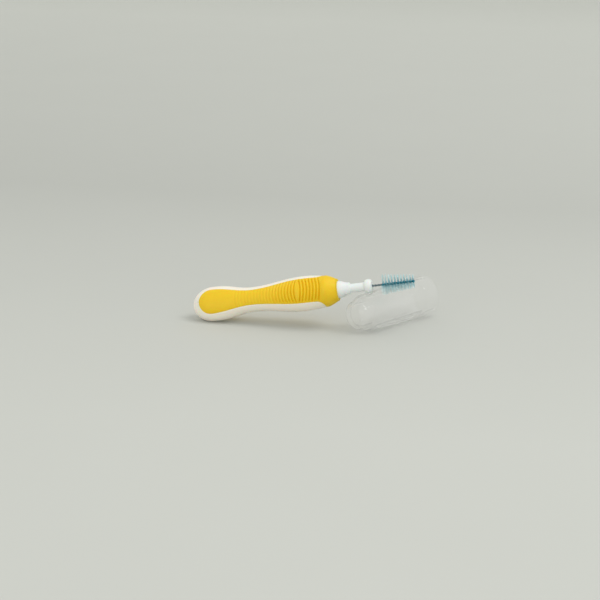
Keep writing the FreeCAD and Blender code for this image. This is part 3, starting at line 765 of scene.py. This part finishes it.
class INTERDENTAL_OT_soft_grip(bpy.types.Operator):
    """Models the soft yellow overmould: a grooved panel on each broad face and the collar that joins both"""
    bl_idname = "interdental.soft_grip"
    bl_label = "Soft grip"

    groove_steps = 8
    plain_steps = 24
    tip_steps = 48
    ridge_steps = 3
    cone_steps = 14
    edge_steps = 4
    seam_rows = (0, 0.006, 0.014, 0.024, 0.04)
    panel_rows = 32
    bow_passes = 5
    crease = math.radians(50)

    # Where the grooves start to run out across the panel, in what share of it, and the angle in which the
    # line between the mouldings runs out at the rim's tip.
    groove_reach = 0.84
    groove_runout = 0.14
    seam_runout = 1 / 6

    def stations(self, form):
        s = form.sizes
        arc = form.panel_arc()
        spacing = s.groove_pitch / self.groove_steps
        first = math.floor((s.groove_start - s.groove_pitch - s.groove_middle) / spacing)
        smooth = s.collar_station - s.groove_margin
        last = math.floor((smooth - s.groove_middle) / spacing)
        grooved = [s.groove_middle + spacing * number for number in range(first, last + 1)]
        plain = steps(arc[-1], grooved[0], self.plain_steps)[1:-1]
        return arc + plain + grooved + steps(smooth, form.ridge_back, self.tip_steps)[1:-1]

    def rings(self, form):
        s = form.sizes
        front = form.front - s.front_edge
        ridge = steps(form.ridge_back, s.collar_station, self.ridge_steps)
        rings = [(x, s.ridge_diameter / 2) for x in ridge]
        rings += [(x, form.cone_radius(x)) for x in steps(s.collar_station, front, self.cone_steps)[1:]]
        radius = form.cone_radius(front)
        rings += corner(form.front, radius, BACK, INWARDS, s.front_edge, self.edge_steps)[1:]
        rings.append((form.front, s.passage_diameter / 2))
        rings.append((form.front - s.front_edge, s.passage_diameter / 2))
        return rings

    def panel(self, form, side):
        s = form.sizes
        stations = self.stations(form)
        rings = self.rings(form)
        shares = edge_shares(self.seam_rows, self.panel_rows)

        def lay(column, row):
            share = 2 * shares[row] - 1
            if column >= len(stations):
                x, radius = rings[column - len(stations)]
                turn = share * QUARTER
                return Vector((x, radius * math.sin(turn), side * radius * math.cos(turn)))
            station = x = stations[column]
            for bow_pass in range(self.bow_passes):
                seam = form.seam_angle(x)
                across = form.girth(x)[0] * math.sin(share * seam)
                x = station + form.bow(station) * (s.groove_bow - math.sqrt(s.groove_bow ** 2 - across ** 2))
            seam = form.seam_angle(x)
            beside = min(1.0, (QUARTER - seam) / self.seam_runout)
            distance = (1 - abs(share)) * seam * form.girth(x)[0]
            sink = form.seam_drop(distance) * beside
            sink += form.groove(station) * eased(1, 0, (abs(share) - self.groove_reach) / self.groove_runout)
            point = form.point(x, share * seam, sink)
            point.z *= side
            return point

        return laid_grid("panel", len(stations) + len(rings), len(shares), lay)

    def execute(self, context):
        form = HandleForm()
        grip = join([self.panel(form, side) for side in (1, -1)], "soft_grip")
        close_up(grip, MERGE)
        apply_modifier(grip, "SOLIDIFY", thickness=form.sizes.skin, offset=-1.0)
        finish(grip, brush_matrix(), BRUSH, ["grip_overmould"], soft_elastomer(), self.crease)
        return {"FINISHED"}


def bead_tip_station():
    """Station of the bead's front face on the brush's axis."""
    form = HandleForm()
    head = settings("brush_head")
    return form.front + head.cone_length + head.neck_length + head.bead_length


class INTERDENTAL_OT_twisted_wire(bpy.types.Operator):
    """Models the two steel strands, twisted round each other from inside the bead to the tip"""
    bl_idname = "interdental.twisted_wire"
    bl_label = "Twisted wire"

    sides = 20
    steps_a_turn = 28
    # Share of the deep root teal laid on the held stretch of wire: the roots' colour, partly painted shade
    # among them.
    root_shade_share = 0.85

    def strand(self, name, offset):
        head = settings("brush_head")
        start = bead_tip_station() - head.twist_lead / 2
        run = head.wire_exposed + head.twist_lead / 2
        turns = run / head.twist_lead
        stretch = math.hypot(1, 2 * math.pi * head.strand_offset / head.twist_lead)
        clear_selection()
        bpy.ops.mesh.primitive_circle_add(vertices=self.sides, radius=head.strand_diameter / 2,
                                          fill_type="NGON", rotation=(0, QUARTER, 0))
        piece = bpy.context.object
        piece.name = name
        apply_place()
        turn = 2 * math.pi * (start - bead_tip_station()) / head.twist_lead + offset
        piece.matrix_world = (Matrix.Translation((start, 0, 0)) @ Matrix.Rotation(turn, 4, "X")
                              @ Matrix.Translation((0, head.strand_offset, 0))
                              @ Matrix.Diagonal((1, 1, stretch, 1)))
        apply_place()
        count = round(turns * self.steps_a_turn)
        bpy.ops.object.mode_set(mode="EDIT")
        bpy.ops.mesh.select_all(action="SELECT")
        for step in range(count):
            bpy.ops.mesh.extrude_region_move(TRANSFORM_OT_translate={"value": (run / count, 0, 0)})
            bpy.ops.transform.rotate(value=-2 * math.pi * turns / count, orient_axis="X",
                                     center_override=(start, 0, 0))
        bpy.ops.object.mode_set(mode="OBJECT")
        close_up(piece, MERGE / 10)
        return piece

    def execute(self, context):
        steel = drawn_steel()
        head = settings("brush_head")
        first = bead_tip_station() + head.bristle_setback
        for name, offset in (("strand_a", 0.0), ("strand_b", math.pi)):
            strand = self.strand(name, offset)
            mark(strand, HELD, lambda point: eased(0, self.root_shade_share, (point.x - first) / head.strand_diameter))
            finish(strand, brush_matrix(), BRUSH, ["wire_" + name], steel, SMOOTH)
        return {"FINISHED"}


class INTERDENTAL_OT_bristles(bpy.types.Operator):
    """Models the nylon filaments, clamped between the strands in rows of half a twist"""
    bl_idname = "interdental.bristles"
    bl_label = "Bristles"

    sides = 5
    sway = 0.05
    tilt = math.radians(4)
    stray = math.radians(30)
    shortest = 0.9
    seed = 7

    # Shares of the length and of the radius, from a filament's root to its tip.
    taper = ((0, 1), (0.3, 1), (0.6, 1), (0.85, 0.96), (0.98, 0.8), (1.0, 0.4))

    def filament(self, head):
        """One filament of unit length along X, a little bowed, with a rounded tip."""
        profile = [(run, head.filament_diameter / 2 * share) for run, share in self.taper]
        piece = turned("filament", profile, self.sides, fill_start=True, fill_end=True)
        for vertex in piece.data.vertices:
            vertex.co.z += self.sway * vertex.co.x ** 2
        return piece

    def execute(self, context):
        head = settings("brush_head")
        draw = random.Random(self.seed)
        pattern = self.filament(head)
        material = nylon()
        first = bead_tip_station() + head.bristle_setback
        last = bead_tip_station() + head.wire_exposed - head.bristle_margin
        half_twist = head.twist_lead / 2
        pitch = half_twist / head.filaments
        for number, node in enumerate(BRISTLE_ROWS):
            copies = []
            for step in range(head.filaments):
                station = first + half_twist * number + pitch * (step + 0.5)
                if station > last:
                    break
                share = (station - first) / (last - first)
                reach = (head.root_diameter + (head.tip_diameter - head.root_diameter) * share) / 2
                turn = 2 * math.pi * (station - bead_tip_station()) / head.twist_lead + QUARTER
                for half in (0, math.pi):
                    copy = pattern.copy()
                    copy.data = pattern.data.copy()
                    context.collection.objects.link(copy)
                    swing = turn + half + draw.uniform(-self.stray, self.stray)
                    lean = draw.uniform(-self.tilt, self.tilt)
                    run = reach * draw.uniform(self.shortest, 1.0)
                    copy.matrix_world = (Matrix.Translation((station, 0, 0)) @ Matrix.Rotation(swing, 4, "X")
                                         @ Matrix.Rotation(QUARTER + lean, 4, "Z")
                                         @ Matrix.Rotation(draw.uniform(0, 2 * math.pi), 4, "X")
                                         @ Matrix.Diagonal((run, 1, run, 1)))
                    copies.append(copy)
            row = join(copies, "bristles_%02d" % (number + 1))
            select_only(row)
            apply_place()
            # Reach from the wire, which sets the nylon's painted shade at the roots and painted light at the
            # tips.
            mark(row, REACH, lambda point: math.hypot(point.y, point.z) / (head.root_diameter / 2))
            finish(row, brush_matrix(), BRUSH, [node], material, SMOOTH)
        bpy.data.objects.remove(pattern)
        return {"FINISHED"}


class INTERDENTAL_OT_clear_cap(bpy.types.Operator):
    """Models the clear cap: a tapered body that rounds down to a blunt nose, with a seat and a chamber"""
    bl_idname = "interdental.clear_cap"
    bl_label = "Clear cap"

    sides = 128
    corner_steps = 4
    body_steps = 16
    shoulder_steps = 10
    shoulder_turn = math.radians(70)
    nose_steps = 16
    chamber_steps = 12

    # Rounding of the hollow nose's end, as a number of edge radii.
    hollow_edges = 6

    def execute(self, context):
        cap = settings("brush_cap")
        edge, count = cap.edge, self.corner_steps
        mouth, shoulder = cap.mouth_diameter / 2, cap.shoulder_diameter / 2
        seat, chamber = cap.seat_diameter / 2, cap.chamber_diameter / 2
        nose, bore = shoulder - cap.shoulder_radius, cap.nose_bore / 2
        shoulder_x = cap.length - cap.shoulder_radius
        tip = cap.length + cap.nose_length
        inner_end = cap.length - cap.end_wall
        start = (edge * 2, seat)
        body = steps(edge * 2, shoulder_x, self.body_steps)
        outer = [start] + corner(0, seat, AHEAD, OUTWARDS, edge, count)
        outer += corner(0, mouth, INWARDS, AHEAD, edge, count)
        outer += [(x, mouth + (shoulder - mouth) * x / shoulder_x) for x in body]
        for turn in steps(0, self.shoulder_turn, self.shoulder_steps)[1:]:
            outer.append((shoulder_x + cap.shoulder_radius * math.sin(turn),
                          nose + cap.shoulder_radius * math.cos(turn)))
        outer += corner(cap.length, nose, OUTWARDS, AHEAD, edge, count)
        outer += corner(tip, nose, BACK, INWARDS, cap.nose_radius, self.nose_steps)
        outer.append((tip, MERGE / 10))
        inner = [start, (cap.seat_depth / 2, seat)]
        inner += corner(cap.seat_depth, seat, BACK, INWARDS, edge, count)
        inner += corner(cap.seat_depth, chamber, OUTWARDS, AHEAD, edge, count)
        room = steps(cap.seat_depth + edge * 2, inner_end - edge * 2, self.chamber_steps)
        inner += [(x, chamber) for x in room]
        inner += corner(inner_end, chamber, BACK, INWARDS, edge, count)
        inner += corner(inner_end, bore, OUTWARDS, AHEAD, edge, count)
        inner += corner(tip - cap.nose_wall, bore, BACK, INWARDS, edge * self.hollow_edges, count)
        inner.append((tip - cap.nose_wall, MERGE / 10))
        shells = [turned("cap", outer, self.sides), turned("cap_inside", inner, self.sides)]
        piece = join(shells, "clear_cap")
        close_up(piece, MERGE)
        finish(piece, cap_matrix(), CAP, ["cap"], clear_polystyrene(), SMOOTH)
        return {"FINISHED"}


class INTERDENTAL_OT_stage(bpy.types.Operator):
    """Sets up the pale paper sweep, the soft lamps and the camera"""
    bl_idname = "interdental.stage"
    bl_label = "Stage"

    sweep_steps = 24
    air_colour = (1.0, 1.0, 0.98)

    def paper(self, studio):
        clear_selection()
        depth = studio.floor_front + studio.floor_back
        middle = (studio.floor_back - studio.floor_front) / 2
        bpy.ops.mesh.primitive_plane_add(size=1, location=(0, middle, 0))
        paper = bpy.context.object
        paper.name = "studio_paper"
        paper.scale = (studio.floor_width, depth, 1)
        apply_place()
        bpy.ops.object.mode_set(mode="EDIT")
        bpy.ops.mesh.select_mode(type="EDGE")
        bpy.ops.mesh.select_all(action="DESELECT")
        bpy.ops.object.mode_set(mode="OBJECT")
        for edge in paper.data.edges:
            edge.select = all(paper.data.vertices[end].co.y > 0 for end in edge.vertices)
        bpy.ops.object.mode_set(mode="EDIT")
        bpy.ops.mesh.extrude_edges_move(TRANSFORM_OT_translate={"value": (0, 0, studio.wall_height)})
        bpy.ops.mesh.select_mode(type="VERT")
        bpy.ops.object.mode_set(mode="OBJECT")
        apply_modifier(paper, "BEVEL", width=studio.sweep, segments=self.sweep_steps, limit_method="ANGLE")
        bpy.ops.object.shade_smooth()
        paper.data.materials.append(studio_paper())

    def lamp(self, name, stand, size, watts):
        clear_selection()
        turn = stand.to_track_quat("Z", "Y").to_euler()
        bpy.ops.object.light_add(type="AREA", location=stand, rotation=turn)
        lamp = bpy.context.object
        lamp.name = name
        lamp.data.size = size
        lamp.data.energy = watts

    def execute(self, context):
        studio = settings("brush_studio")
        self.paper(studio)
        self.lamp("overhead", studio.overhead_place, studio.overhead_size, studio.overhead_power)
        self.lamp("front_fill", studio.fill_place, studio.fill_size, studio.fill_power)
        world = bpy.data.worlds.new("studio air")
        world.use_nodes = True
        air = world.node_tree.nodes["Background"]
        air.inputs["Color"].default_value = with_alpha(self.air_colour)
        air.inputs["Strength"].default_value = studio.air_strength
        context.scene.world = world
        context.scene.view_settings.view_transform = "Standard"
        away = Vector((math.sin(studio.azimuth) * math.cos(studio.elevation),
                       -math.cos(studio.azimuth) * math.cos(studio.elevation), math.sin(studio.elevation)))
        turn = away.to_track_quat("Z", "Y").to_matrix() @ Matrix.Rotation(studio.camera_roll, 3, "Z")
        clear_selection()
        bpy.ops.object.camera_add(location=studio.aim + away * studio.distance, rotation=turn.to_euler())
        camera = bpy.context.object
        camera.data.sensor_fit = "HORIZONTAL"
        camera.data.angle = studio.field
        context.scene.camera = camera
        return {"FINISHED"}


class INTERDENTAL_PT_panel(bpy.types.Panel):
    """Lists the pieces of the brush"""
    bl_idname = "INTERDENTAL_PT_panel"
    bl_label = "Interdental brush"
    bl_space_type = "VIEW_3D"
    bl_region_type = "UI"
    bl_category = "Interdental brush"

    def draw(self, context):
        for operator in OPERATORS:
            self.layout.operator(operator.bl_idname)


OPERATORS = (
    INTERDENTAL_OT_hard_core,
    INTERDENTAL_OT_soft_grip,
    INTERDENTAL_OT_twisted_wire,
    INTERDENTAL_OT_bristles,
    INTERDENTAL_OT_clear_cap,
    INTERDENTAL_OT_stage,
)


def register():
    for name, group in SETTINGS:
        bpy.utils.register_class(group)
        setattr(bpy.types.Scene, name, PointerProperty(type=group))
    for operator in OPERATORS:
        bpy.utils.register_class(operator)
    bpy.utils.register_class(INTERDENTAL_PT_panel)


def unregister():
    bpy.utils.unregister_class(INTERDENTAL_PT_panel)
    for operator in reversed(OPERATORS):
        bpy.utils.unregister_class(operator)
    for name, group in reversed(SETTINGS):
        delattr(bpy.types.Scene, name)
        bpy.utils.unregister_class(group)


def main():
    register()
    bpy.ops.interdental.hard_core()
    bpy.ops.interdental.soft_grip()
    bpy.ops.interdental.twisted_wire()
    bpy.ops.interdental.bristles()
    bpy.ops.interdental.clear_cap()
    bpy.ops.interdental.stage()


if __name__ == "__main__":
    main()
